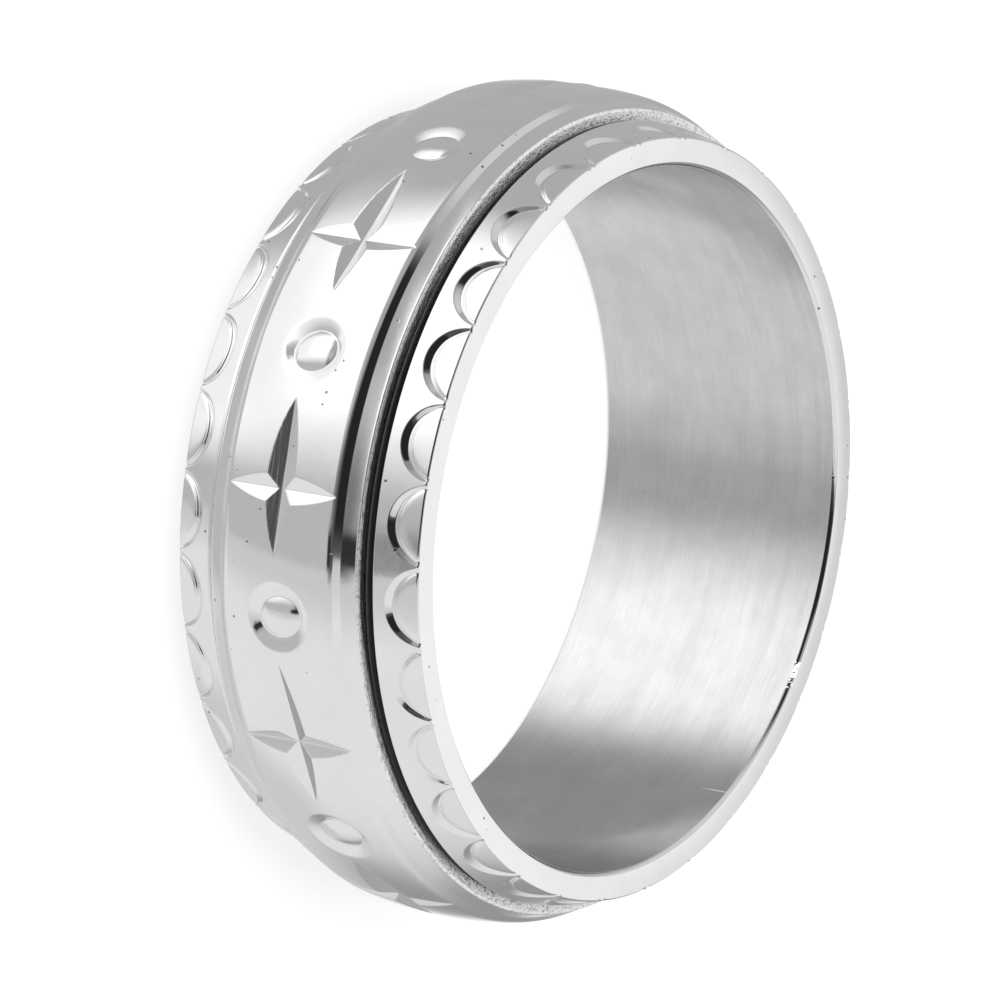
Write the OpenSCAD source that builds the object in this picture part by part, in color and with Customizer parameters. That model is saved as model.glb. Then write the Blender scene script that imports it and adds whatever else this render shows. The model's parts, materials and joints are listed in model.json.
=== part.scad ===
// A spinner ring, lying on its side: a steel finger band and a patterned band that turns
// freely in the groove between the finger band's two flared edges.
// The finger hole runs along +Z and the lower end face rests on Z = 0. Sizes are in millimetres.
// A turn is an angle about +Z, counted from the front (-Y) towards +X.

/* [Finger band] */
// Diameter of the finger hole
bore_d = 19.8; // [16:0.1:23]
// Width of the whole ring, from end face to end face
band_w = 8; // [7:0.1:11]
// Wall of the band at its end faces
rim_wall = 0.8; // [0.6:0.05:1.1]
// Wall of the band under the spinner
seat_wall = 0.6; // [0.4:0.05:0.8]
// Width of each flared edge, from the end face to its crest
flare_w = 1.26; // [1.1:0.02:1.6]
// Height of the flared edge's crest beyond the rim
flare_rise = 0.35; // [0.25:0.01:0.6]
// How far the flared edge's root reaches towards the spinner, beyond its crest
flare_lean = 0.16; // [0.04:0.02:0.2]
// Bevel at the two edges of the finger hole
bore_bevel = 0.12; // [0.05:0.01:0.25]
// Bevel at the outer edges of the end faces
rim_bevel = 0.04; // [0.02:0.01:0.1]

/* [Spinner] */
// Gap between the flared edge's crest and the spinner's side
side_gap = 0.24; // [0.22:0.01:0.5]
// Running clearance between the finger band and the spinner
run_gap = 0.05; // [0.02:0.01:0.08]
// Wall of the spinner at its side edges
edge_wall = 0.78; // [0.6:0.02:1.2]
// Width of each shoulder, from the side edge to the step
shoulder_w = 0.49; // [0.2:0.01:0.7]
// Rise of the shoulders from the side edges to the step
shoulder_rise = 0.155; // [0.02:0.005:0.25]
// Height of the step from the shoulder to the raised middle
step_h = 0.175; // [0.1:0.005:0.3]
// Width of the step's slope
step_run = 0.19; // [0.1:0.01:0.3]
// Rise of the middle from its edges to its crown
crown_rise = 0.16; // [0.1:0.01:0.25]
// Bevel along the spinner's side edges, inside and outside
spinner_bevel = 0.06; // [0.02:0.01:0.12]

/* [Half-moons on the flared edges] */
// Spacing of the half-moons along the rim
moon_pitch = 2.24; // [2:0.02:3]
// Land left between two half-moons at the rim
moon_land = 0.06; // [0.04:0.01:0.2]
// Reach of the crescent cut from the rim, up the flare
moon_reach = 0.95; // [0.85:0.01:1.05]
// Reach of the half disc that stands inside the crescent
disc_reach = 0.62; // [0.5:0.01:0.7]
// Width of the crescent's tips at the rim
moon_tip = 0.1; // [0.05:0.01:0.2]
// Depth of the crescent below the flare
moon_depth = 0.12; // [0.06:0.01:0.18]
// Turn of the first half-moon on the upper flare
upper_moon_turn = 0.7; // [-6:0.1:6]
// Turn of the first half-moon on the lower flare
lower_moon_turn = 4; // [-6:0.1:6]

/* [Stars on the spinner] */
// Spacing from star to star around the crown
star_pitch = 7.43; // [7:0.01:9]
// Depth of the long cut, which runs around the ring
long_cut_depth = 0.2; // [0.15:0.01:0.3]
// Depth of the cross cut, which runs along the finger hole
cross_cut_depth = 0.15; // [0.12:0.01:0.25]
// Slope of the cuts' flanks
cut_slope = 23; // [18:1:40]
// Turn of the first star
star_turn = -1.7; // [-18:0.1:18]
// How far the middle of the long cut lies behind the cross cut, in degrees
long_cut_lag = 1.6; // [0:0.1:3]

/* [Ringed dots on the spinner] */
// Outer radius of the moat around a dot
moat_r = 1.02; // [0.9:0.01:1.2]
// Radius of the dot
dot_r = 0.62; // [0.5:0.01:0.7]
// Width of the moat's floor
moat_floor = 0.06; // [0.02:0.01:0.1]
// Depth of the moat below the crown
moat_depth = 0.15; // [0.1:0.01:0.2]

/* [Hidden] */

// Clear length by which a cutter stands out of what it cuts
over = 1;
// Number of sides used where a curve is shown as facets
round_fn = 180;

mid_z = band_w / 2;
bore_r = bore_d / 2;
rim_r = bore_r + rim_wall;
seat_r = bore_r + seat_wall;
crest_r = rim_r + flare_rise;
flare_angle = atan2(flare_rise, flare_w);

spinner_half_w = mid_z - flare_w - side_gap;
spinner_bore_r = seat_r + run_gap;
edge_r = spinner_bore_r + edge_wall;
foot_r = edge_r + shoulder_rise;
middle_r = foot_r + step_h;
crown_r = middle_r + crown_rise;
foot_half_w = spinner_half_w - shoulder_w;
middle_half_w = foot_half_w - step_run;
// Radius of the arc that crowns the raised middle
crown_arc_r = pow(middle_half_w, 2) / (2 * crown_rise) + crown_rise / 2;

moon_count = round(2 * PI * rim_r / moon_pitch);
moon_half_w = (2 * PI * rim_r / moon_count - moon_land) / 2;
disc_half_w = moon_half_w - moon_tip;

star_count = round(2 * PI * crown_r / star_pitch);
star_step = 360 / star_count;
// Drop of the crown's own curve at the moat's edge
moat_sag = pow(moat_r, 2) / (2 * crown_r);

// Radius of the arc that is half_w wide at its chord and rises by reach
function arc_r(half_w, reach) = (pow(reach, 2) + pow(half_w, 2)) / (2 * reach);

// Stands the children on the front of the ring at radius r and height z,
// with their Z pointing out and their Y pointing up
module at_front(r, z, turn) {
    rotate([0, 0, turn])
        translate([0, -r, z])
            rotate([90, 0, 0])
                children();
}

// One half of the finger band's outline, from the lower end face to the middle
function band_half() = [
    [bore_r, mid_z],
    [bore_r, bore_bevel],
    [bore_r + bore_bevel, 0],
    [rim_r - rim_bevel, 0],
    [rim_r + rim_bevel * sin(flare_angle), rim_bevel],
    [crest_r, flare_w],
    [seat_r, flare_w + flare_lean],
    [seat_r, mid_z]
];

// Crescent cut at the rim, with its Z along the flare's normal and its Y towards the rim
module moon_cut() {
    outer_r = arc_r(moon_half_w, moon_reach);
    inner_r = arc_r(disc_half_w, disc_reach);
    translate([0, 0, -moon_depth])
        difference() {
            translate([0, outer_r - moon_reach, 0])
                cylinder(r = outer_r, h = moon_depth + over, $fn = round_fn);
            translate([0, inner_r - disc_reach, -over])
                cylinder(r = inner_r, h = moon_depth + 3 * over, $fn = round_fn);
        }
}

// The ring of crescents around the lower flare
module moon_ring(first_turn) {
    for (i = [0 : moon_count - 1])
        rotate([0, 0, first_turn + i * 360 / moon_count])
            translate([0, -rim_r, 0])
                mirror([0, 0, 1])
                    rotate([90 - flare_angle, 0, 0])
                        moon_cut();
}

// Turns what is drawn on the lower half into the upper half
module upside_down() {
    translate([0, 0, band_w])
        mirror([0, 0, 1])
            children();
}

module inner_band() {
    color([0.80, 0.80, 0.81])
        difference() {
            union() {
                rotate_extrude($fn = round_fn) polygon(band_half());
                upside_down() rotate_extrude($fn = round_fn) polygon(band_half());
            }
            moon_ring(lower_moon_turn);
            upside_down() moon_ring(upper_moon_turn);
        }
}

// The spinner's outline without its crown
function spinner_outline() = [
    [spinner_bore_r, -spinner_half_w + spinner_bevel],
    [spinner_bore_r + spinner_bevel, -spinner_half_w],
    [edge_r - spinner_bevel, -spinner_half_w],
    [edge_r, -spinner_half_w + spinner_bevel],
    [foot_r, -foot_half_w],
    [middle_r, -middle_half_w],
    [crown_r, -middle_half_w + crown_rise],
    [crown_r, middle_half_w - crown_rise],
    [middle_r, middle_half_w],
    [foot_r, foot_half_w],
    [edge_r, spinner_half_w - spinner_bevel],
    [edge_r - spinner_bevel, spinner_half_w],
    [spinner_bore_r + spinner_bevel, spinner_half_w],
    [spinner_bore_r, spinner_half_w - spinner_bevel]
];

// V-shaped groove along X, with its bottom line on Z = 0
module v_groove() {
    flank_h = over;
    flank_w = flank_h / tan(cut_slope);
    rotate([90, 0, 90])
        linear_extrude(height = 2 * crown_r, center = true)
            polygon([[0, 0], [flank_w, flank_h], [-flank_w, flank_h]]);
}

// Four-pointed star: a long cut around the ring and a cross cut along it
module star_cut(turn) {
    at_front(crown_r - long_cut_depth, mid_z, turn - long_cut_lag)
        v_groove();
    at_front(crown_r - cross_cut_depth, mid_z, turn)
        rotate([0, 0, 90])
            v_groove();
}

// Round moat that leaves a dot standing in its middle
module moat_cut(turn) {
    slope = (moat_depth - moat_sag) / (moat_r - dot_r - moat_floor);
    at_front(crown_r, mid_z, turn)
        rotate_extrude($fn = round_fn)
            polygon([
                [dot_r, -moat_depth],
                [dot_r + moat_floor, -moat_depth],
                [dot_r + moat_floor + over, -moat_depth + slope * over],
                [dot_r + moat_floor + over, over],
                [dot_r, over]
            ]);
}

module spinner_band() {
    color([0.86, 0.86, 0.87])
        difference() {
            translate([0, 0, mid_z])
                rotate_extrude($fn = round_fn)
                    intersection() {
                        polygon(spinner_outline());
                        translate([crown_r - crown_arc_r, 0])
                            circle(r = crown_arc_r, $fn = round_fn);
                    }
            for (i = [0 : star_count - 1]) {
                star_cut(star_turn + i * star_step);
                moat_cut(star_turn + (i + 0.5) * star_step);
            }
        }
}

inner_band();
spinner_band();
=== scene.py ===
"""The dressed spinner ring: two steel bands with their cut ornament, a pale floor, studio light, a camera.

Modelling is in millimetres about the ring's own middle: x runs around the ring, h along the finger hole,
r away from its axis. A turn is an angle about +Z, counted from the front (-Y) towards +X. A lean is how
far a surface's normal tips up from level, in degrees.
"""
import json
import math
from collections import namedtuple

import bpy
import numpy as np
from mathutils import Matrix, Vector
from mathutils.geometry import delaunay_2d_cdt


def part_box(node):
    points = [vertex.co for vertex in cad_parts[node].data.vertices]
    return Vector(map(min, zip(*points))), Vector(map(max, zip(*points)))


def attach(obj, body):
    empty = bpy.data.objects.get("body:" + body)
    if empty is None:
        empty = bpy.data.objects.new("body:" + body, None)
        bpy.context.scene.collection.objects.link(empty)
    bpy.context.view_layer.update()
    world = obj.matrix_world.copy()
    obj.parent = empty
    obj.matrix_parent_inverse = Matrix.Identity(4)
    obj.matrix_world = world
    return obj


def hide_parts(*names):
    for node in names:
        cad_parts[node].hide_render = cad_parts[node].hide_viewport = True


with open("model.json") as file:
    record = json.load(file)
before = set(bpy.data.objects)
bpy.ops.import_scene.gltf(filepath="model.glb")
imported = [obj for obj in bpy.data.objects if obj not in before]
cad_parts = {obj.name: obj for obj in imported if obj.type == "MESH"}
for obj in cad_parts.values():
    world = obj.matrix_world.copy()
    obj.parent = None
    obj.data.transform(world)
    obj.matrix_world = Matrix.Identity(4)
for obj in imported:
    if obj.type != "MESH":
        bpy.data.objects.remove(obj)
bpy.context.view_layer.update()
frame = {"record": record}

MM = 0.001
band_low, band_high = (np.array(corner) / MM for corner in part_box("inner_band"))
spin_low, spin_high = (np.array(corner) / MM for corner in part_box("spinner_band"))
finger_hole = next(m for m in frame["record"]["mounts"] if m["name"] == "finger_hole")

# Finger band
MID_Z = (band_low[2] + band_high[2]) / 2
HALF_W = (band_high[2] - band_low[2]) / 2
BORE_R = finger_hole["dims"]["r_mm"]
RIM_R = BORE_R + 0.8
SEAT_R = BORE_R + 0.6
CREST_R = max(band_high[:2] - band_low[:2]) / 2
FLARE_W = 1.26
FLARE_LEAN = 0.16
CREST_H = HALF_W - FLARE_W
FLARE_TILT = math.degrees(math.atan2(CREST_R - RIM_R, FLARE_W))
UNDER_TILT = math.degrees(math.atan2(FLARE_LEAN, CREST_R - SEAT_R)) - 90
BORE_BEVEL = 0.12
BORE_SIDES = 360
RIM_ROUND = 0.07
CREST_ROUND = 0.035
# The lower crest, the far one in the photo, is rolled over, so it mirrors what its outer side does
FAR_CREST_LEAN = -11
# The end faces lean out a little at their outer edges
FACE_EDGE_LEAN = 87

# Spinner
SPIN_HALF = (spin_high[2] - spin_low[2]) / 2
CROWN_R = max(spin_high[:2] - spin_low[:2]) / 2
SPIN_BORE_R = SEAT_R + 0.05
EDGE_R = SPIN_BORE_R + 0.78
SPIN_BEVEL = 0.06
MIDDLE_HALF = 1.82
MIDDLE_DROP = 0.16
FOOT_HALF = 2.01
FOOT_R = EDGE_R + 0.155
CROWN_ARC_R = MIDDLE_HALF ** 2 / (2 * MIDDLE_DROP) + MIDDLE_DROP / 2
ZONE_HALF = 1.8
ROLL_FROM = 1.6
ROLL_OFF = 0.8
STEP_LEAN = 43
# The shoulder's leans at the step and at the side, for the lower and the upper one
SHOULDER_LEANS = {-1: (26, 24), 1: (21, 18.5)}
# How far down the spinner's side wall can be seen through the gap
SEEN_WALL = 0.34

# Ornament
STAR_COUNT = 10
STAR_TURN = -1.7
STAR_H = 0.02
CROSS_H = 0.055
DOT_H = 0.1
DOT_TURN = 17.2
CELL_FROM = -13.5
VALLEY_ROUND = 0.015
EDGE_SOFT = 0.014
# Distances of the extra points beside a bottom line, an edge and the foot of a dome
VALLEY_ROWS = (0.012, 0.03, 0.055)
EDGE_ROWS = (0.014, 0.034)
FOOT_ROWS = (0.012, 0.03, 0.06)
# Places of the points along a mitre, from a star's middle to the corner between two of its arms
MITRE_SHARES = (0.15, 0.3, 0.45, 0.6, 0.75, 0.88)
MOON_COUNT = 30
UPPER_MOON_TURN = 0.7
LOWER_MOON_TURN = 4.0

# The lag and the long cut's length each way are in degrees, skew and the painted facet shade are shares
Star = namedtuple("Star", "lag long_len long_w long_depth skew cross_len cross_w cross_depth stain")
PLAIN_STAR = Star(2.0, 10.5, 0.45, 0.225, 0.0, 1.735, 0.39, 0.172, 0.0)
# Stars that show in the photograph, by their place around the ring from the first one
STARS = {
    -1: PLAIN_STAR._replace(lag=1.8, long_len=10.7, long_depth=0.22),
    0: PLAIN_STAR._replace(lag=1.6, skew=-0.06),
    # This star's cuts carry painted shade on their facets
    1: PLAIN_STAR._replace(lag=1.2, long_len=10.9, long_w=0.43, long_depth=0.215, cross_depth=0.2,
                           stain=0.6),
}

# What the finish attribute holds: cutter lines around the ring and along it, painted shade for the gap
# between the bands and for darker star facets, coarse turning
PLAIN = (0, 0, 0, 0)
# Painted shade for the hidden walls and seats in the gap between the two bands
PAINTED_GAP_SHADE = (0, 0, 1, 0)
TURNED = (0, 0, 0, 1)
WORN = (0, 0, 0, 0.5)

# Corners nearer than this become one, in millimetres
WELD = 2e-5


class Skin:
    """Triangles with their own corner normals and finish, gathered before they become one mesh."""

    def __init__(self):
        self.places, self.normals, self.finishes, self.slots = [], [], [], []

    def add(self, places, normals, finishes, triangles, slot=0):
        triangles = np.asarray(triangles)
        self.places.append(places[triangles])
        self.normals.append(normals[triangles])
        each = np.broadcast_to(finishes, (len(triangles), 4))
        self.finishes.append(np.repeat(each[:, None], 3, axis=1))
        self.slots.append(np.full(len(triangles), slot))

    def build(self, name, materials):
        places = np.concatenate(self.places)
        normals = np.concatenate(self.normals)
        finishes = np.concatenate(self.finishes)
        slots = np.concatenate(self.slots)
        facing = np.cross(places[:, 1] - places[:, 0], places[:, 2] - places[:, 0])
        area = np.linalg.norm(facing, axis=1)
        keep = area > 1e-9
        everything = (places, normals, finishes, slots, facing)
        places, normals, finishes, slots, facing = (values[keep] for values in everything)
        wrong = np.einsum("ij,ij->i", facing, normals.sum(1)) < 0
        for corners in (places, normals, finishes):
            corners[wrong] = corners[wrong][:, ::-1]
        keys = np.round(places.reshape(-1, 3) / WELD).astype(np.int64)
        _, first, index = np.unique(keys, axis=0, return_index=True, return_inverse=True)
        index = index.reshape(-1, 3)
        whole = (np.roll(index, 1, axis=1) != index).all(1)
        index, normals, finishes, slots = index[whole], normals[whole], finishes[whole], slots[whole]
        mesh = bpy.data.meshes.new(name)
        spots = places.reshape(-1, 3)[first] * MM
        mesh.from_pydata(spots.tolist(), [], index.tolist())
        mesh.polygons.foreach_set("material_index", slots.astype(np.int32))
        mesh.polygons.foreach_set("use_smooth", np.ones(len(index), bool))
        for material in materials:
            mesh.materials.append(material)
        finish = mesh.color_attributes.new("finish", "FLOAT_COLOR", "CORNER")
        finish.data.foreach_set("color", finishes.reshape(-1).astype(np.float32))
        flat = normals.reshape(-1, 3)
        mesh.normals_split_custom_set((flat / np.linalg.norm(flat, axis=1)[:, None]).tolist())
        mesh.update()
        piece = bpy.data.objects.new(name, mesh)
        bpy.context.scene.collection.objects.link(piece)
        return piece


def outward(turn):
    return np.stack([np.sin(turn), -np.cos(turn), np.zeros_like(turn)], -1)


def onward(turn):
    return np.stack([np.cos(turn), np.sin(turn), np.zeros_like(turn)], -1)


AXIS = np.array([0.0, 0.0, 1.0])


def ring(turns, h, r, lean, dip=0.0, dip_slope=0.0):
    """Places and normals around the ring at one height, sunk by dip, which grows by dip_slope a radian."""
    out = outward(turns)
    dip = np.broadcast_to(dip, turns.shape)[:, None]
    tip = np.broadcast_to(dip_slope, turns.shape)[:, None]
    side = math.cos(math.radians(lean))
    places = out * (r - dip) + AXIS * (h + MID_Z)
    normals = out * side + AXIS * math.sin(math.radians(lean)) + onward(turns) * tip / r * side
    return places, normals


def zip_rings(a, b):
    """Triangles between two closed rings of sorted turns, where the second's points follow the first's."""
    triangles = []
    i = j = 0
    a_next = np.append(a[1:], a[0] + 2 * math.pi)
    b_next = np.append(b[1:], b[0] + 2 * math.pi)
    while i < len(a) or j < len(b):
        low, high = i % len(a), len(a) + j % len(b)
        if j >= len(b) or (i < len(a) and a_next[i] <= b_next[j]):
            triangles.append((low, (i + 1) % len(a), high))
            i += 1
        else:
            triangles.append((low, len(a) + (j + 1) % len(b), high))
            j += 1
    return triangles


def flip(places, normals):
    """Turns what is on the upper half into the lower half."""
    places, normals = places.copy(), normals.copy()
    places[:, 2] = 2 * MID_Z - places[:, 2]
    normals[:, 2] *= -1
    return places, normals


def outline(knots, steps):
    """Rings (h, r, lean) on smooth curves through such knots. Two knots at one place make a corner."""
    rings = []
    for (h0, r0, lean0), (h1, r1, lean1) in zip(knots, knots[1:]):
        reach = math.hypot(h1 - h0, r1 - r0)
        if reach < 1e-6:
            continue
        a0, a1 = math.radians(lean0), math.radians(lean1)
        way0 = np.array([math.cos(a0), -math.sin(a0)]) * reach
        way1 = np.array([math.cos(a1), -math.sin(a1)]) * reach
        count = 1 if abs(lean1 - lean0) < 0.5 else steps
        for k in range(count + 1):
            t = k / count
            spot = (
                np.array([h0, r0]) * (2 * t ** 3 - 3 * t ** 2 + 1)
                + way0 * (t ** 3 - 2 * t ** 2 + t)
                + np.array([h1, r1]) * (3 * t ** 2 - 2 * t ** 3)
                + way1 * (t ** 3 - t ** 2)
            )
            rings.append((spot[0], spot[1], lean0 + (lean1 - lean0) * t))
    return rings


def strips(skin, rings, turns, upside_down=False, finish=PLAIN, slot=0, dip=0.0, dip_slope=0.0):
    """Walls between rings that share their turns."""
    for (h0, r0, lean0), (h1, r1, lean1) in zip(rings, rings[1:]):
        if math.hypot(h1 - h0, r1 - r0) < 1e-6:
            continue
        low = ring(turns, h0, r0, lean0, dip, dip_slope)
        high = ring(turns, h1, r1, lean1, dip, dip_slope)
        places = np.concatenate([low[0], high[0]])
        normals = np.concatenate([low[1], high[1]])
        if upside_down:
            places, normals = flip(places, normals)
        skin.add(places, normals, finish, zip_rings(turns, turns), slot)


def bridge(skin, ring_a, turns_a, ring_b, turns_b, finish=PLAIN, slot=0):
    """Wall between two rings whose turns differ."""
    places = np.concatenate([ring_a[0], ring_b[0]])
    normals = np.concatenate([ring_a[1], ring_b[1]])
    skin.add(places, normals, finish, zip_rings(turns_a, turns_b), slot)


class Cell:
    """One repeat of an ornament, drawn flat in x and h, then cut into triangles along its lines."""

    def __init__(self, x_from, x_to, h_from, h_to):
        self.points, self.edges, self.rows = [], [], []
        self.box = (x_from, x_to, h_from, h_to)

    def line(self, points, closed=False, beside=()):
        """Adds a line, and loose points at the distances beside it."""
        start = len(self.points)
        self.points += [tuple(p) for p in points]
        last = len(self.points)
        self.edges += [(i, i + 1) for i in range(start, last - 1)]
        if closed:
            self.edges.append((last - 1, start))
        way = np.gradient(np.asarray(points, float), axis=0)
        across = np.stack([-way[:, 1], way[:, 0]], -1) / np.linalg.norm(way, axis=1)[:, None]
        for distance in beside:
            self.rows += [np.asarray(points) + across * distance, np.asarray(points) - across * distance]

    def settle_rows(self, apart=0.009):
        for row in self.rows:
            self.fill(row, apart)

    def frame(self, x_step, h_step):
        x0, x1, h0, h1 = self.box
        xs = np.linspace(x0, x1, max(2, round((x1 - x0) / x_step) + 1))
        hs = np.linspace(h0, h1, max(2, round((h1 - h0) / h_step) + 1))
        for h in (h0, h1):
            self.line([(x, h) for x in xs])
        for x in (x0, x1):
            self.line([(x, h) for h in hs])

    def fill(self, points, apart):
        """Adds loose points that lie inside the cell and keep apart from what is there."""
        x0, x1, h0, h1 = self.box
        points = np.asarray(points, float)
        inside = (
            (points[:, 0] > x0 + apart) & (points[:, 0] < x1 - apart)
            & (points[:, 1] > h0 + apart) & (points[:, 1] < h1 - apart)
        )
        points = points[inside]
        there = np.array(self.points)
        near = np.full(len(points), np.inf)
        for part in np.array_split(there, max(1, len(there) // 400)):
            gap = np.hypot(points[:, None, 0] - part[None, :, 0], points[:, None, 1] - part[None, :, 1])
            near = np.minimum(near, gap.min(1))
        self.points += [tuple(p) for p in points[near > apart]]

    def grid(self, spacing, inside=None):
        """Loose points in staggered rows, where inside says so."""
        x0, x1, h0, h1 = self.box
        rows = []
        for k, h in enumerate(np.arange(h0 + spacing / 2, h1, spacing * 0.87)):
            shift = spacing / 2 if k % 2 else 0
            rows += [(x, h) for x in np.arange(x0 + spacing / 2 + shift, x1, spacing)]
        rows = np.array(rows)
        if inside is not None:
            rows = rows[inside(rows[:, 0], rows[:, 1])]
        if len(rows):
            self.fill(rows, spacing * 0.5)

    def triangles(self):
        out = delaunay_2d_cdt([Vector(p) for p in self.points], self.edges, [], 0, 1e-7, False)
        points = np.array([tuple(v) for v in out[0]])
        for column, border in zip((0, 0, 1, 1), self.box):
            points[np.abs(points[:, column] - border) < 1e-5, column] = border
        return points, np.array([tuple(f) for f in out[2]])


def crown_r(h):
    """Radius of the spinner's raised middle, an arc that rolls off towards the steps."""
    roll = np.maximum(np.abs(h) - ROLL_FROM, 0)
    return CROWN_R - CROWN_ARC_R + np.sqrt(CROWN_ARC_R ** 2 - h ** 2) - ROLL_OFF * roll ** 2


def trough(u):
    """Distance from a groove's bottom line, rounded at the bottom."""
    return np.sqrt(u ** 2 + VALLEY_ROUND ** 2) - VALLEY_ROUND


def highest(a, b, soft=EDGE_SOFT):
    """The larger of two values, blended where they differ by less than soft."""
    near = np.maximum(soft - np.abs(a - b), 0) / soft
    return np.maximum(a, b) + soft / 4 * near ** 2


def lowest(a, b, soft=EDGE_SOFT):
    return -highest(-a, -b, soft)


def groove(depth, half_w, reach, along, across):
    """Depth below the crown of a cut that is deepest in its middle and runs out at reach."""
    return depth * (1 - (along / reach) ** 2) - depth / half_w * trough(across)


def groove_edge(half_w, reach, along, widest):
    """Distance from the bottom line of a cut, widest wide at its middle, to its edge at the crown."""
    level = half_w * np.maximum(1 - (along / reach) ** 2, 0) + VALLEY_ROUND
    return np.sqrt(np.maximum(level ** 2 - VALLEY_ROUND ** 2, 0)) * widest / half_w


def degrees_x(angle):
    return math.radians(angle) * CROWN_R


def long_bottom(star, x):
    """Height of the long cut's bottom line, which lies off its middle where the cut is skewed."""
    share = 1 - ((x + degrees_x(star.lag)) / degrees_x(star.long_len)) ** 2
    return STAR_H + star.skew * star.long_w * share


def long_cut(star, x, h):
    across = h - long_bottom(star, x)
    half_w = star.long_w * (1 - np.sign(across) * star.skew)
    return groove(star.long_depth, half_w, degrees_x(star.long_len), x + degrees_x(star.lag), across)


def cross_cut(star, x, h):
    return groove(star.cross_depth, star.cross_w, star.cross_len, h - CROSS_H, x)


def solve(f, low, high):
    """Where f changes sign between low and high."""
    f_low = f(low)
    for _ in range(50):
        middle = (low + high) / 2
        if (f(middle) > 0) == (f_low > 0):
            low = middle
        else:
            high = middle
    return (low + high) / 2


def draw_star(cell, star, fine):
    """Adds a star's outline, its bottom lines and the mitres where its cuts meet."""
    long_x, reach = -degrees_x(star.lag), degrees_x(star.long_len)

    def long_edge(x, side):
        half_w = star.long_w * (1 - side * star.skew)
        return long_bottom(star, x) + side * groove_edge(half_w, reach, x - long_x, half_w)

    def cross_edge(h):
        return groove_edge(star.cross_w, star.cross_len, h - CROSS_H, star.cross_w)

    def gap(x, h):
        return long_cut(star, x, h) - cross_cut(star, x, h)

    tips_x = {-1: long_x - reach, 1: long_x + reach}
    tips_h = {-1: CROSS_H - star.cross_len, 1: CROSS_H + star.cross_len}

    def towards(start, stop, thinning=1.0):
        """Values from start to stop, about fine apart, that may crowd towards the stop."""
        span = np.linspace(0, 1, round(abs(stop - start) / fine) + 1)
        return start + (stop - start) * (1 - (1 - span) ** thinning)

    for side_h in (-1, 1):
        meet = solve(lambda h: gap(0.0, h), long_bottom(star, 0.0), long_edge(0.0, side_h))
        cell.line([(0.0, h) for h in towards(meet, tips_h[side_h])], beside=VALLEY_ROWS)
        for side_x in (-1, 1):
            x, h = side_x * star.cross_w, 0.0
            for _ in range(60):
                h = long_edge(x, side_h)
                x = side_x * cross_edge(h)
            corner_x, corner_h = x, h
            xs = towards(corner_x, tips_x[side_x], 1.3)
            cell.line([(x, long_edge(x, side_h)) for x in xs], beside=EDGE_ROWS)
            hs = towards(corner_h, tips_h[side_h], 1.3)
            cell.line([(side_x * cross_edge(h), h) for h in hs], beside=EDGE_ROWS)
            mitre = [(0.0, meet)]
            for t in MITRE_SHARES:
                x = corner_x * t
                low, high = long_bottom(star, x), long_edge(x, side_h) + side_h * 0.1
                mitre.append((x, solve(lambda h: gap(x, h), low, high)))
            cell.line(mitre + [(corner_x, corner_h)], beside=EDGE_ROWS[:1])
    cell.line([(x, long_bottom(star, x)) for x in towards(tips_x[-1], tips_x[1])], beside=VALLEY_ROWS)


Oval = namedtuple("Oval", "x h along across tilt")
DOT_X = degrees_x(DOT_TURN)
MOAT = Oval(DOT_X, DOT_H, 0.98, 0.98, 0.0)
DOME = Oval(DOT_X, DOT_H + 0.02, 0.585, 0.68, -16.0)
MOAT_DEPTH = 0.14
MOAT_GIRTH = 6.4
DOME_GIRTH = 4.0


def oval_share(oval, x, h):
    """Distance from an oval's middle as a share of its own radius that way."""
    c, s = math.cos(math.radians(oval.tilt)), math.sin(math.radians(oval.tilt))
    dx, dh = x - oval.x, h - oval.h
    return np.hypot((dx * c - dh * s) / oval.along, (dx * s + dh * c) / oval.across)


def oval_points(oval, count):
    c, s = math.cos(math.radians(oval.tilt)), math.sin(math.radians(oval.tilt))
    a = np.arange(count) * 2 * math.pi / count
    x, h = np.cos(a) * oval.along, np.sin(a) * oval.across
    return np.stack([oval.x + x * c + h * s, oval.h - x * s + h * c], -1)


def moat(x, h):
    """Depth of the moat's wall, which falls from its rim to the foot of the dome."""
    outer = (1 - oval_share(MOAT, x, h)) * MOAT.along
    inner = np.maximum((oval_share(DOME, x, h) - 1) * DOME.along, 0)
    share = outer / np.maximum(outer + inner, 0.3)
    return MOAT_DEPTH * share * (0.82 + 0.18 * np.abs(share))


def dome(x, h):
    """Depth of the dome below the crown."""
    return MOAT_DEPTH * (0.05 + 0.95 * oval_share(DOME, x, h) ** 2.2)


def spinner_depth(star, x, h):
    star_depth = highest(long_cut(star, x, h), cross_cut(star, x, h))
    dot_depth = lowest(moat(x, h), dome(x, h))
    near_dot = oval_share(MOAT, x, h) < 1.4
    soft = EDGE_SOFT * np.clip((ZONE_HALF - np.abs(h)) / 0.1, 0.01, 1)
    return highest(np.where(near_dot, dot_depth, star_depth), 0.0, soft)


def draw_dot(cell, fine):
    cell.line(oval_points(MOAT, round(MOAT_GIRTH / fine)), closed=True, beside=(*EDGE_ROWS, 0.07))
    cell.line(oval_points(DOME, round(DOME_GIRTH / fine)), closed=True, beside=FOOT_ROWS)


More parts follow.
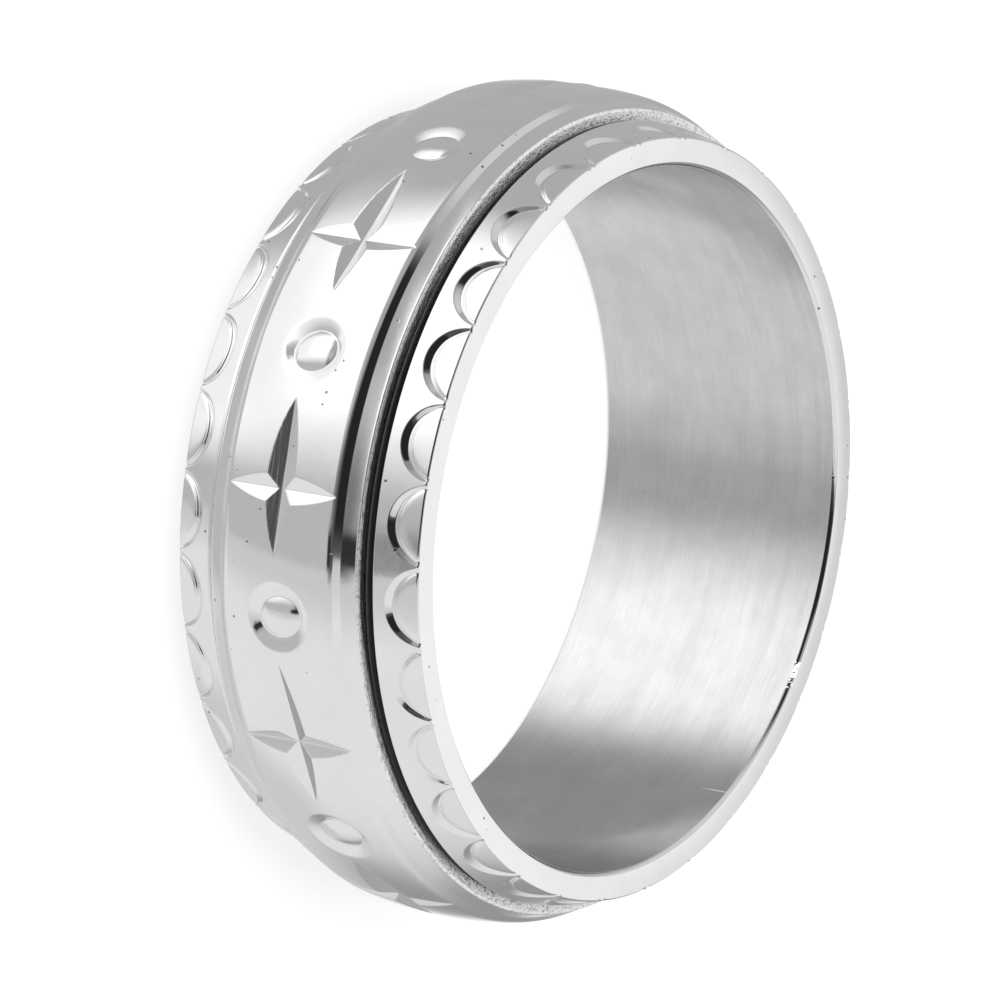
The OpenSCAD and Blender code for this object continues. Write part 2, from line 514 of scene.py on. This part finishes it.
def spread(skin, points, faces, finishes, radius, depth, first_turn, upside_down=False):
    """Lays a cell on the ring at radius(h) less depth(x, h), where x grows by CROWN_R a radian."""
    turns = first_turn + points[:, 0] / CROWN_R
    x, h = points[:, 0], points[:, 1]
    step = 1e-3
    r = radius(h) - depth(x, h)
    by_h = (radius(h + step) - depth(x, h + step) - radius(h - step) + depth(x, h - step)) / (2 * step)
    by_turn = -(depth(x + step, h) - depth(x - step, h)) / (2 * step) * CROWN_R / r
    normals = outward(turns) - AXIS * by_h[:, None] - onward(turns) * by_turn[:, None]
    normals /= np.linalg.norm(normals, axis=1)[:, None]
    places = outward(turns) * r[:, None] + AXIS * (h + MID_Z)[:, None]
    if upside_down:
        places, normals = flip(places, normals)
    skin.add(places, normals, finishes, faces)


def spinner_cell(star, fine=0.052):
    cell = Cell(degrees_x(CELL_FROM), degrees_x(CELL_FROM + 360 / STAR_COUNT), -ZONE_HALF, ZONE_HALF)
    draw_star(cell, star, fine)
    draw_dot(cell, fine)
    cell.frame(0.2, 0.15)
    cell.settle_rows()

    def cut_away(x, h):
        return (long_cut(star, x, h) > 0) | (cross_cut(star, x, h) > 0) | (oval_share(MOAT, x, h) < 1)

    cell.grid(fine, cut_away)
    cell.grid(0.16)
    points, faces = cell.triangles()
    x, h = points[faces].mean(1).T
    deep_long, deep_cross = long_cut(star, x, h), cross_cut(star, x, h)
    finishes = np.zeros((len(faces), 4))
    finishes[(deep_long > 0) & (deep_long >= deep_cross), 0] = 1
    finishes[(deep_cross > 0) & (deep_long < deep_cross), 1] = 1
    # Painted shade: the long cut's facet above its bottom line, and the cross cut more faintly, are
    # darkened by the star's share
    finishes[(finishes[:, 0] > 0) & (h > long_bottom(star, x)), 2] = star.stain
    finishes[finishes[:, 1] > 0, 2] = 0.25 * star.stain
    return points, faces, finishes


def tidy_turns(turns):
    """Sorted turns from 0 to a full turn, each once."""
    turns = np.sort(np.mod(np.array(turns) + 1e-7, 2 * math.pi)) - 1e-7
    keep = np.append(True, np.diff(turns) > 1e-6)
    if turns[0] + 2 * math.pi - turns[-1] < 1e-6:
        keep[-1] = False
    return turns[keep]


def make_spinner(materials):
    skin = Skin()
    cells = {}
    edge_turns = {-1: [], 1: []}
    for k in range(STAR_COUNT):
        place = k - STAR_COUNT if k > STAR_COUNT // 2 else k
        star = STARS.get(place, PLAIN_STAR)
        if star not in cells:
            cells[star] = spinner_cell(star)
        points, faces, finishes = cells[star]
        first_turn = math.radians(STAR_TURN + place * 360 / STAR_COUNT)
        spread(skin, points, faces, finishes, crown_r, lambda x, h: spinner_depth(star, x, h), first_turn)
        for side in (-1, 1):
            on_edge = np.abs(points[:, 1] - side * ZONE_HALF) < 1e-6
            edge_turns[side] += list(first_turn + points[on_edge, 0] / CROWN_R)
    crown_slope = math.asin(ZONE_HALF / CROWN_ARC_R) + math.atan(2 * ROLL_OFF * (ZONE_HALF - ROLL_FROM))
    wall_top, wall_foot = (SPIN_HALF, EDGE_R - 0.075), (SPIN_HALF, EDGE_R - SEEN_WALL)
    bevel_side, bevel_bore = (SPIN_HALF, SPIN_BORE_R + SPIN_BEVEL), (SPIN_HALF - SPIN_BEVEL, SPIN_BORE_R)
    for side in (-1, 1):
        turns = tidy_turns(edge_turns[side])
        inner_lean, outer_lean = SHOULDER_LEANS[side]
        rim = (SPIN_HALF - 0.088, EDGE_R + 0.01, 8)
        shoulder = [
            (ZONE_HALF, crown_r(ZONE_HALF), math.degrees(crown_slope)),
            (MIDDLE_HALF + 0.018, crown_r(MIDDLE_HALF) - 0.016, STEP_LEAN),
            (FOOT_HALF - 0.012, FOOT_R + 0.01, STEP_LEAN),
            (FOOT_HALF + 0.008, FOOT_R - 0.004, inner_lean),
            (SPIN_HALF - 0.125, EDGE_R + 0.02, outer_lean),
            rim,
        ]
        edge = [
            rim,
            (SPIN_HALF - 0.07, EDGE_R + 0.003, 40),
            (SPIN_HALF - 0.05, EDGE_R - 0.014, 72),
            (SPIN_HALF - 0.012, EDGE_R - 0.055, 84),
            (*wall_top, 88),
        ]
        bore = [(*bevel_side, 135), (*bevel_bore, 135), (*bevel_bore, 180), (0, SPIN_BORE_R, 180)]
        strips(skin, outline(shoulder, 5), turns, side < 0)
        strips(skin, outline(edge, 5), turns, side < 0, finish=WORN)
        strips(skin, [(*wall_top, 90), (*wall_foot, 90)], turns, side < 0, finish=TURNED)
        # The side wall's deeper part and the spinner's bore get painted shade, for the gap between the
        # bands
        strips(skin, [(*wall_foot, 90), (*bevel_side, 90)], turns, side < 0, finish=PAINTED_GAP_SHADE)
        strips(skin, outline(bore, 1), turns, side < 0, finish=PAINTED_GAP_SHADE)
    return skin.build("spinner", materials)


# Crescents on the flares: circles through the rim, outside and inside
MOON_OUT_REACH = 0.93
MOON_OUT_HALF = 1.085
MOON_IN_REACH = 0.6
MOON_IN_HALF = 0.96
MOON_OUT_SLOPE = 0.75
MOON_IN_SLOPE = 0.55
MOON_LIP = 0.018
MOON_RIPPLE = 0.0045
MOON_RIPPLE_W = 0.085
MOON_GIRTH = 3.2
FLARE_TOP = HALF_W - RIM_ROUND * 0.8
FLARE_FOOT = CREST_H + CREST_ROUND * 1.1
X_PER_RIM = CROWN_R / RIM_R


def circle_of(half_w, reach):
    """The radius of such a circle through the rim, and how far beyond the rim its centre lies."""
    radius = (reach ** 2 + half_w ** 2) / (2 * reach)
    return radius, radius - reach


def moon_out(x, h):
    radius, beyond = circle_of(MOON_OUT_HALF, MOON_OUT_REACH)
    return radius - np.hypot(x / X_PER_RIM, HALF_W + beyond - h)


def moon_in(x, h):
    radius, beyond = circle_of(MOON_IN_HALF, MOON_IN_REACH)
    return np.hypot(x / X_PER_RIM, HALF_W + beyond - h) - radius


def moon_depth(x, h):
    """Depth of a crescent: a steep outer wall, then a rippled one that rises to the half disc's lip."""
    outer, inner = moon_out(x, h), moon_in(x, h)
    in_wall = np.clip(inner, 0, None)
    ripple = MOON_RIPPLE * np.sin(2 * math.pi * in_wall / MOON_RIPPLE_W) * np.clip(in_wall / 0.03, 0, 1)
    rise = MOON_LIP * np.exp(np.clip(inner, None, 0) / 0.09) + MOON_IN_SLOPE * in_wall + ripple
    return highest(lowest(MOON_OUT_SLOPE * outer, rise), 0.0)


def flare_r(h):
    return RIM_R + (HALF_W - h) * (CREST_R - RIM_R) / FLARE_W


def moon_arc(half_w, reach, count):
    """Points of a circle through the rim, from one end at the flare's top to the other."""
    radius, beyond = circle_of(half_w, reach)
    centre = HALF_W + beyond
    limit = math.acos((centre - FLARE_TOP) / radius)
    a = np.linspace(-limit, limit, count)
    return [(radius * math.sin(t) * X_PER_RIM, centre - radius * math.cos(t)) for t in a]


def moon_cell(fine=0.068):
    half = math.pi / MOON_COUNT * CROWN_R
    cell = Cell(-half, half, FLARE_FOOT, FLARE_TOP)
    count = round(MOON_GIRTH / fine)
    cell.line(moon_arc(MOON_OUT_HALF, MOON_OUT_REACH, count))
    cell.line(moon_arc(MOON_IN_HALF, MOON_IN_REACH, count))
    bottom = MOON_IN_SLOPE / (MOON_IN_SLOPE + MOON_OUT_SLOPE) + 0.03

    def part_way(share):
        """An arc between the outer circle, at 0, and the inner one, at 1."""
        half_w = MOON_OUT_HALF + (MOON_IN_HALF - MOON_OUT_HALF) * share
        reach = MOON_OUT_REACH + (MOON_IN_REACH - MOON_OUT_REACH) * share
        return moon_arc(half_w, reach, count)

    cell.line(part_way(bottom))
    cell.frame(0.12, 0.12)
    for share in (-0.12, -0.05, 0.05, 0.18, bottom - 0.06, bottom + 0.06, 1.04, 1.15, 1.4):
        cell.fill(part_way(share), 0.011)
    for share in np.linspace(bottom + 0.1, 0.95, 10):
        cell.fill(part_way(share), 0.011)
    cell.grid(0.11)
    points, faces = cell.triangles()
    return points, faces, np.zeros((len(faces), 4))


def rim_dip(x):
    """Depth of the ornament where it runs out at the rim."""
    return moon_depth(x, np.full_like(x, FLARE_TOP))


def make_finger_band(materials):
    skin = Skin()
    points, faces, finishes = moon_cell()
    cell_turn = 2 * math.pi / MOON_COUNT
    even = np.arange(BORE_SIDES) * 2 * math.pi / BORE_SIDES
    seat = [(0, SEAT_R, 0), (CREST_H - FLARE_LEAN, SEAT_R, 0)]
    wall = [
        (CREST_H - FLARE_LEAN, SEAT_R, UNDER_TILT),
        (CREST_H - FLARE_LEAN * 0.36, CREST_R - (CREST_R - SEAT_R) * 0.36, UNDER_TILT),
    ]
    crest = [
        wall[-1],
        (CREST_H - CREST_ROUND * 0.3, CREST_R - CREST_ROUND, UNDER_TILT),
        (CREST_H + CREST_ROUND * 0.2, CREST_R - CREST_ROUND * 0.28, FLARE_TILT - 45),
        (FLARE_FOOT, float(flare_r(FLARE_FOOT)), FLARE_TILT),
    ]
    rim = [
        (FLARE_TOP, float(flare_r(FLARE_TOP)), FLARE_TILT),
        (HALF_W - RIM_ROUND * 0.24, RIM_R - RIM_ROUND * 0.14, 55),
        (HALF_W, RIM_R - RIM_ROUND * 0.75, 90),
    ]
    face = (HALF_W, BORE_R + BORE_BEVEL, 90)
    bevel = [
        face,
        (HALF_W - 0.012, BORE_R + BORE_BEVEL - 0.02, 125),
        (HALF_W - BORE_BEVEL + 0.02, BORE_R + 0.014, 145),
        (HALF_W - BORE_BEVEL, BORE_R, 180),
    ]
    crests = {1: outline(crest, 4), -1: [(h, r, FAR_CREST_LEAN) for h, r, _ in crest[:-1]] + crest[-1:]}
    for side, first in ((1, UPPER_MOON_TURN), (-1, LOWER_MOON_TURN)):
        tops, feet = [], []
        for k in range(MOON_COUNT):
            first_turn = math.radians(first) + k * cell_turn
            spread(skin, points, faces, finishes, flare_r, moon_depth, first_turn, side < 0)
            tops += list(first_turn + points[np.abs(points[:, 1] - FLARE_TOP) < 1e-6, 0] / CROWN_R)
            feet += list(first_turn + points[np.abs(points[:, 1] - FLARE_FOOT) < 1e-6, 0] / CROWN_R)
        tops, feet = tidy_turns(tops), tidy_turns(feet)
        # The under wall gets painted shade, for the gap between the bands
        strips(skin, wall, feet, side < 0, finish=PAINTED_GAP_SHADE)
        strips(skin, crests[side], feet, side < 0)
        local = np.mod(tops - math.radians(first) + cell_turn / 2, cell_turn) - cell_turn / 2
        x = local * CROWN_R
        step = 1e-4
        dip = rim_dip(x)
        slope = (rim_dip(x + step) - rim_dip(x - step)) / (2 * step) * CROWN_R
        strips(skin, outline(rim, 5), tops, side < 0, dip=dip, dip_slope=slope)
        flat_out, flat_in = ring(tops, *rim[-1][:2], FACE_EDGE_LEAN, dip), ring(even, *face)
        seat_out, seat_in = ring(feet, *seat[1]), ring(even, *seat[0])
        if side < 0:
            flat_out, flat_in, seat_out = flip(*flat_out), flip(*flat_in), flip(*seat_out)
        bridge(skin, flat_out, tops, flat_in, even)
        # The seat gets painted shade, for the gap between the bands
        bridge(skin, seat_out, feet, seat_in, even, finish=PAINTED_GAP_SHADE)
        strips(skin, outline(bevel, 4), even, side < 0)
        bore = [(HALF_W - BORE_BEVEL, BORE_R, 180), (0, BORE_R, 180)]
        strips(skin, bore, even, side < 0, slot=1)
    return skin.build("finger_band", materials)


class Graph:
    """Shorthand for building a node tree."""

    def __init__(self, tree):
        self.tree = tree
        tree.nodes.clear()

    def node(self, kind, inputs=(), **settings):
        made = self.tree.nodes.new(kind)
        for key, value in settings.items():
            setattr(made, key, value)
        for key, value in dict(inputs).items():
            self.plug(value, made.inputs[key])
        return made

    def plug(self, value, socket):
        if isinstance(value, bpy.types.Node):
            value = value.outputs[0]
        if isinstance(value, bpy.types.NodeSocket):
            self.tree.links.new(value, socket)
        else:
            socket.default_value = value

    def math(self, operation, *values):
        return self.node("ShaderNodeMath", dict(enumerate(values)), operation=operation).outputs[0]

    def smooth(self, value, low, high, to_low=0.0, to_high=1.0):
        inputs = {"Value": value, "From Min": low, "From Max": high, "To Min": to_low, "To Max": to_high}
        return self.node("ShaderNodeMapRange", inputs, interpolation_type="SMOOTHSTEP").outputs[0]

    def blend(self, share, a, b):
        inputs = {"Factor": share, "A": a, "B": b}
        return self.node("ShaderNodeMix", inputs, data_type="FLOAT").outputs[0]

    def noise(self, vector, scale, detail=2.0, rough=0.5):
        inputs = {"Vector": vector, "Scale": scale, "Detail": detail, "Roughness": rough}
        return self.node("ShaderNodeTexNoise", inputs).outputs[0]

    def vector(self, *values):
        return self.node("ShaderNodeCombineXYZ", dict(enumerate(values))).outputs[0]

    def streaks(self, u, v, u_scale, v_scale, layer, detail, rough):
        """Noise stretched along u or v, different in each layer."""
        stretched = self.vector(self.math("MULTIPLY", u, u_scale), self.math("MULTIPLY", v, v_scale), layer)
        return self.noise(stretched, 1.0, detail, rough)

    def window(self, value, start, started, stop, stopped):
        """Rises from 0 to 1 between start and started, and falls again between stop and stopped."""
        return self.product(self.smooth(value, start, started), self.smooth(value, stop, stopped, 1.0, 0.0))

    def product(self, first, *others):
        for other in others:
            first = self.math("MULTIPLY", first, other)
        return first

    def scaled(self, value, mask, change):
        """The value, changed by that share where the mask is 1."""
        return self.math("MULTIPLY", value, self.math("MULTIPLY_ADD", mask, change, 1.0))


def ring_coords(graph):
    """The place, its turn in degrees, and millimetres around the ring, along its axis and away from it."""
    place = graph.node("ShaderNodeTexCoord").outputs["Object"]
    x, y, z = graph.node("ShaderNodeSeparateXYZ", {0: place}).outputs
    turn = graph.math("ARCTAN2", x, graph.math("MULTIPLY", y, -1.0))
    around = graph.math("MULTIPLY", turn, CROWN_R)
    along = graph.math("MULTIPLY", z, 1 / MM)
    across = graph.node("ShaderNodeVectorMath", {0: graph.vector(x, y, 0.0)}, operation="LENGTH")
    away = graph.math("MULTIPLY", across.outputs["Value"], 1 / MM)
    return place, graph.math("DEGREES", turn), around, along, away


def steel_shader(graph, colour, metal, roughness, bump, **extra):
    inputs = {"Base Color": colour, "Metallic": metal, "Roughness": roughness, "Normal": bump}
    shader = graph.node("ShaderNodeBsdfPrincipled", {**inputs, **extra})
    graph.node("ShaderNodeOutputMaterial", {"Surface": shader})


def tint(graph, value):
    """Steel's faintly warm grey at a brightness."""
    channels = {"Red": value, "Green": value, "Blue": graph.math("MULTIPLY", value, 0.995)}
    return graph.node("ShaderNodeCombineColor", channels).outputs[0]


def polished_steel(name, brightness):
    """Mirror polish with faint smears and fine pits, and cutter or lathe lines and painted shade where the
    finish says so.
    """
    material = bpy.data.materials.new(name)
    material.use_nodes = True
    graph = Graph(material.node_tree)
    place, turn, around, along, away = ring_coords(graph)
    finish = graph.node("ShaderNodeAttribute", attribute_name="finish")
    long_lines, cross_lines, painted_shade = graph.node("ShaderNodeSeparateColor", {0: finish}).outputs
    coarse = finish.outputs["Alpha"]

    smear = graph.noise(place, 420.0, 4.0, 0.6)
    along_cut = graph.streaks(around, along, 0.35, 9.0, 0.0, 2.0, 0.6)
    across_cut = graph.streaks(around, along, 9.0, 0.35, 7.0, 2.0, 0.6)
    turned = graph.streaks(around, away, 5.0, 9.0, 3.0, 4.0, 0.75)
    specks = graph.node("ShaderNodeTexVoronoi", {"Vector": place, "Scale": 3300.0})
    chosen = graph.smooth(graph.node("ShaderNodeSeparateColor", {0: specks.outputs["Color"]}), 0.84, 0.88)
    where = graph.smooth(graph.noise(place, 330.0, 2.0, 0.5), 0.42, 0.56)
    pits = graph.product(graph.smooth(specks.outputs["Distance"], 0.09, 0.17, 1.0, 0.0), chosen, where)

    # Heights in millimetres
    height = graph.math("MULTIPLY", graph.math("SUBTRACT", smear, 0.5), 0.006)
    height = graph.math("MULTIPLY_ADD", graph.math("MULTIPLY", along_cut, long_lines), 0.01, height)
    height = graph.math("MULTIPLY_ADD", graph.math("MULTIPLY", across_cut, cross_lines), 0.003, height)
    height = graph.math("MULTIPLY_ADD", graph.math("MULTIPLY", turned, coarse), 0.045, height)
    height = graph.math("MULTIPLY_ADD", pits, -0.004, height)
    bump = graph.node("ShaderNodeBump", {"Strength": 1.0, "Distance": MM, "Height": height})

    cut = graph.math("MAXIMUM", long_lines, cross_lines)
    roughness = graph.smooth(smear, 0.3, 0.75, 0.055, 0.1)
    for share, change in ((cut, 0.05), (painted_shade, 0.3), (coarse, 0.2)):
        roughness = graph.math("MULTIPLY_ADD", share, change, roughness)
    cloudy = graph.noise(place, 700.0, 3.0, 0.6)
    shade = graph.smooth(cloudy, 0.3, 0.7, brightness - 0.015, brightness + 0.015)
    shade = graph.product(shade, graph.smooth(pits, 0.0, 1.0, 1.0, 0.25))
    # Painted shade: darkens the gap between the bands and some star facets
    shade = graph.scaled(shade, painted_shade, -0.8)
    patchy = graph.smooth(turned, 0.36, 0.52, 0.5, 1.15)
    shade = graph.product(shade, graph.blend(coarse, 1.0, patchy))
    # Painted shade on the spinner's side wall at the front, facing the gap: over all of it near the middle,
    # then only its lower part past a turn of about 26 degrees
    level = graph.smooth(turn, 5, 26, EDGE_R + 0.05, EDGE_R - 0.22)
    below = graph.smooth(graph.math("SUBTRACT", away, level), -0.04, 0.04, 1.0, 0.0)
    painted_wall_shade = graph.product(graph.window(turn, -50, -15, 40, 75), graph.smooth(coarse, 0.6, 0.9), below)
    shade = graph.scaled(shade, painted_wall_shade, -0.8)
    # Where shade is painted the steel is partly matte, so the painted-dark gap takes a little diffuse light
    # and is not quite black
    metal = graph.smooth(painted_shade, 0.7, 0.9, 1.0, 0.35)
    # A scuff on the bevel at the finger hole's upper end has broken the polish, and it is painted near
    # white as a painted highlight for the glint it throws
    scuff_and_glint = graph.product(
        graph.smooth(turn, 150.5, 154.5, 0.76, 1.0),
        graph.window(turn, 149.8, 150.2, 155.4, 155.8),
        graph.smooth(away, BORE_R + 0.1, BORE_R + 0.13, 1.0, 0.0),
        graph.smooth(along, MID_Z + HALF_W - 0.14, MID_Z + HALF_W - 0.11),
        graph.noise(place, 9000.0, 2.0, 0.6),
    )
    scuff_and_glint = graph.smooth(scuff_and_glint, 0.42, 0.47)
    metal = graph.blend(scuff_and_glint, metal, 0.1)
    roughness = graph.blend(scuff_and_glint, roughness, 0.6)
    shade = graph.blend(scuff_and_glint, shade, 0.97)
    steel_shader(graph, tint(graph, shade), metal, roughness, bump)
    return material


def brushed_steel(name, brightness):
    """The finger hole, brushed around its wall."""
    material = bpy.data.materials.new(name)
    material.use_nodes = True
    graph = Graph(material.node_tree)
    _, turn, around, along, _ = ring_coords(graph)
    hair = graph.streaks(around, along, 0.5, 16.0, 1.0, 4.0, 0.7)
    band = graph.streaks(around, along, 0.12, 2.2, 5.0, 3.0, 0.6)
    chatter = graph.streaks(around, along, 2.6, 0.5, 9.0, 3.0, 0.6)
    # Heights in millimetres
    height = graph.math("MULTIPLY_ADD", chatter, 0.0015, graph.math("MULTIPLY", hair, 0.002))
    bump = graph.node("ShaderNodeBump", {"Strength": 1.0, "Distance": MM, "Height": height})
    roughness = graph.smooth(band, 0.3, 0.7, 0.16, 0.24)
    shade = graph.smooth(hair, 0.25, 0.75, brightness - 0.03, brightness + 0.03)
    # Painted shade and highlights: the wall is painted darker on one side, lighter at the back, and lighter
    # over the lower part of the other side, standing in for darker and brighter reflections
    shade = graph.scaled(shade, graph.window(turn, 70, 100, 119, 149), -0.24)
    shade = graph.scaled(shade, graph.window(turn, 136, 150, 157, 171), 0.13)
    cloud = graph.noise(graph.vector(graph.math("MULTIPLY", around, 0.8), along, 4.0), 0.8, 4.0, 0.6)
    shade = graph.math("MULTIPLY", shade, graph.smooth(cloud, 0.3, 0.7, 0.95, 1.05))
    # Painted highlight over the lower part of the wall on the other side
    painted_side_light = graph.product(graph.window(turn, -140, -122, -112, -98), graph.smooth(along, 4.6, 6.2, 1.0, 0.0))
    shade = graph.scaled(shade, painted_side_light, 0.3)
    # A light scratch runs in from the hole's upper end
    off = graph.math("ABSOLUTE", graph.math("SUBTRACT", turn, 127.8))
    scratch = graph.product(graph.smooth(off, 0.06, 0.2, 1.0, 0.0), graph.smooth(along, 6.8, 7.7))
    shade = graph.math("MULTIPLY_ADD", scratch, 0.3, shade)
    metal = graph.math("MULTIPLY_ADD", scratch, -0.45, 1.0)
    tangent = graph.node("ShaderNodeTangent", direction_type="RADIAL", axis="Z")
    steel_shader(graph, tint(graph, shade), metal, roughness, bump, Tangent=tangent,
                 **{"Anisotropic": 0.8, "Anisotropic Rotation": 0.25})
    return material


# Studio around the ring: each card's brightness, its limits with how soft they are, and its heights with
# how soft they are. Azimuths run like turns, from the front (-Y) towards +X, and elevations up from level.
# A later card hides the ones before it.
Panel = namedtuple("Panel", "glow start stop start_soft stop_soft low high edge")
ROOM_GLOW = 0.47
STUDIO = {
    "left softbox": Panel(1.35, -79, -12, 24, 40, -200, 200, 8),
    "left softbox foot": Panel(1.02, -87, -12, 34, 40, -200, -38, 26),
    "front gap": Panel(0.53, 2, 20, 16, 2, -200, 200, 8),
    "right wall": Panel(0.65, 20, 108, 2.5, 56, -200, 200, 8),
    "right softbox": Panel(0.84, 33, 108, 20, 56, -200, 200, 8),
    "rear dark card": Panel(0.33, 122, 150, 30, 14, -200, 200, 8),
    "rear strip light": Panel(0.9, 158, 186, 14, 16, -200, 200, 8),
    "right low wall": Panel(0.66, 92, 178, 24, 20, -72, -36, 10),
    "left low wall": Panel(0.8, -180, -150, 14, 12, -72, -58, 6),
    "left grey card": Panel(0.47, -118, -55, 20, 16, -4.5, 100, 5),
    "front grey card": Panel(0.43, -118, -20, 20, 40, 0, 100, 6),
    "front dark card": Panel(0.2, -20, 22, 44, 4, 2, 100, 7),
    "upper grey card": Panel(0.3, -118, -35, 20, 30, 24, 100, 10),
    "upper dark card": Panel(0.08, -35, 22, 40, 4, 13, 100, 7),
    "high left light": Panel(0.68, -190, -84, 20, 36, 12, 100, 8),
    "high rear light": Panel(1.0, 125, 225, 20, 20, 31, 75, 8),
    "front notch edge": Panel(0.33, 8, 20, 8, 2, -6, 3, 4),
    "front notch": Panel(0.03, 10, 19, 4, 2, -3, 12, 3),
    "black flag": Panel(0.02, -75, 15, 16, 8, 38, 100, 3),
    "high left fill": Panel(0.45, -130, -42, 20, 24, 58, 100, 8),
    "dim ceiling": Panel(0.3, -181, 181, 1, 1, 74, 200, 8),
    "floor card": Panel(0.53, -181, 181, 1, 1, -200, -74, 6),
}

# The world is one background for each tier of elevations, with only the cards that it needs
TIERS = (-90, -25, -8, 30, 90)


def tier_background(graph, azimuth, elevation, bottom, top):
    """What the studio shows between two elevations."""
    glow = ROOM_GLOW
    for panel in STUDIO.values():
        soft = panel.edge / 2
        if panel.low - soft >= top or panel.high + soft <= bottom:
            continue
        share = 1.0
        half = (panel.stop - panel.start) / 2
        if half < 180:
            off = graph.math("SUBTRACT", azimuth, (panel.start + panel.stop) / 2)
            off = graph.math("WRAP", off, 180.0, -180.0)
            rise, fall = panel.start_soft / 2, panel.stop_soft / 2
            share = graph.window(off, -half - rise, -half + rise, half - fall, half + fall)
        for limit, below, above in ((panel.low, 0.0, 1.0), (panel.high, 1.0, 0.0)):
            if bottom < limit + soft and limit - soft < top:
                edge = graph.smooth(elevation, limit - soft, limit + soft, below, above)
                share = graph.math("MULTIPLY", share, edge)
        glow = graph.blend(share, glow, panel.glow)
    return graph.node("ShaderNodeBackground", {"Color": (1, 1, 1, 1), "Strength": glow})


def build_world():
    world = bpy.data.worlds.new("studio")
    bpy.context.scene.world = world
    world.use_nodes = True
    graph = Graph(world.node_tree)
    way = graph.node("ShaderNodeTexCoord").outputs["Generated"]
    x, y, z = graph.node("ShaderNodeSeparateXYZ", {0: way}).outputs
    azimuth = graph.math("DEGREES", graph.math("ARCTAN2", x, graph.math("MULTIPLY", y, -1.0)))
    elevation = graph.math("DEGREES", graph.math("ARCSINE", z))
    studio = tier_background(graph, azimuth, elevation, *TIERS[:2])
    for bottom, top in zip(TIERS[1:], TIERS[2:]):
        tier = tier_background(graph, azimuth, elevation, bottom, top)
        above = graph.math("GREATER_THAN", elevation, float(bottom))
        studio = graph.node("ShaderNodeMixShader", {0: above, 1: studio, 2: tier})
    seen = graph.node("ShaderNodeLightPath").outputs["Is Camera Ray"]
    white = graph.node("ShaderNodeBackground", {"Color": (1, 1, 1, 1), "Strength": 1.0})
    shown = graph.node("ShaderNodeMixShader", {0: seen, 1: studio, 2: white})
    graph.node("ShaderNodeOutputWorld", {"Surface": shown})


def build_floor():
    bpy.ops.mesh.primitive_plane_add(size=1.6, location=(0, 0, 0))
    floor = bpy.context.active_object
    floor.name = "floor"
    material = bpy.data.materials.new("pale_floor")
    material.use_nodes = True
    graph = Graph(material.node_tree)
    lit = graph.node("ShaderNodeBsdfDiffuse", {"Color": (0.9, 0.9, 0.9, 1)})
    own = graph.node("ShaderNodeEmission", {"Color": (1, 1, 1, 1), "Strength": 1.0})
    both = graph.node("ShaderNodeMixShader", {0: 0.8, 1: lit, 2: own})
    graph.node("ShaderNodeOutputMaterial", {"Surface": both})
    floor.data.materials.append(material)
    # The steel mirrors the studio's cards, as a ring held clear of the table does
    floor.visible_glossy = False


def build_light():
    lamp = bpy.data.lights.new("overhead", "AREA")
    lamp.shape = "DISK"
    lamp.size = 0.25
    lamp.energy = 1.6
    light = bpy.data.objects.new("overhead", lamp)
    light.location = (-0.06, -0.08, 0.32)
    light.rotation_euler = Vector(light.location).to_track_quat("Z", "Y").to_euler()
    light.visible_glossy = False
    bpy.context.scene.collection.objects.link(light)


# The camera that was fitted to the photo, its place in millimetres
CAMERA_PLACE = Vector((-16.989, -185.524, 128.682))
CAMERA_AHEAD = Vector((0.0759634, 0.82587374, -0.55871471))
CAMERA_RIGHT = Vector((-0.11126295, 0.5638551, 0.81834466))


def build_camera():
    camera = bpy.data.cameras.new("camera")
    # As narrow as the photo's own view
    camera.lens = 288
    camera.sensor_width = 36
    camera.sensor_fit = "HORIZONTAL"
    camera.clip_start = 0.001
    camera.dof.use_dof = False
    eye = bpy.data.objects.new("camera", camera)
    up = CAMERA_RIGHT.cross(CAMERA_AHEAD)
    turn = Matrix((CAMERA_RIGHT, up, -CAMERA_AHEAD)).transposed().to_4x4()
    eye.matrix_world = Matrix.Translation(CAMERA_PLACE * MM) @ turn
    bpy.context.scene.collection.objects.link(eye)
    bpy.context.scene.camera = eye


build_camera()
build_world()
build_floor()
build_light()
bpy.context.scene.view_settings.view_transform = "Standard"

band_steel = polished_steel("band_steel_polished", 0.86)
bore_steel = brushed_steel("band_steel_brushed", 0.67)
spinner_steel = polished_steel("spinner_steel_polished", 0.87)

finger_band = make_finger_band([band_steel, bore_steel])
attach(finger_band, "band")
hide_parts("inner_band")

spinner = make_spinner([spinner_steel])
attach(spinner, "spinner")
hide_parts("spinner_band")
